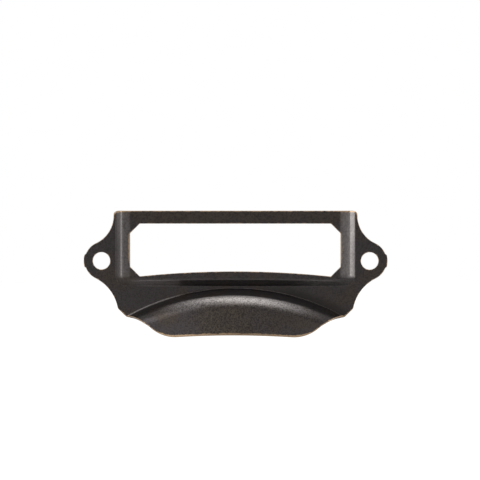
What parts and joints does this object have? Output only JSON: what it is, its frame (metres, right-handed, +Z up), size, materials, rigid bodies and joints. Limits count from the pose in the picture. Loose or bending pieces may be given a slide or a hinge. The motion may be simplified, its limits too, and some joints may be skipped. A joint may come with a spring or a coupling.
{
  "type": "label frame pull",
  "caption": "Thin pressed drawer fitting: a raised label window with an open top, a screw ear at each end, and a hooded finger pull below.",
  "frame": {"origin": "midway between the centres of the two screw holes, on the back face that lies on the drawer front", "axes": "+X to the right along the line of the screw holes, +Z up, -Y out of the drawer front towards the hand"},
  "size_m": [0.0702, 0.009, 0.029],
  "materials": {
    "antique_bronze": "steel sheet with an antique bronze finish: dark brown grey, rubbed back to copper on its cut edges"
  },
  "bodies": {
    "root": {"label_frame_pull": "antique_bronze"}
  },
  "joints": []
}
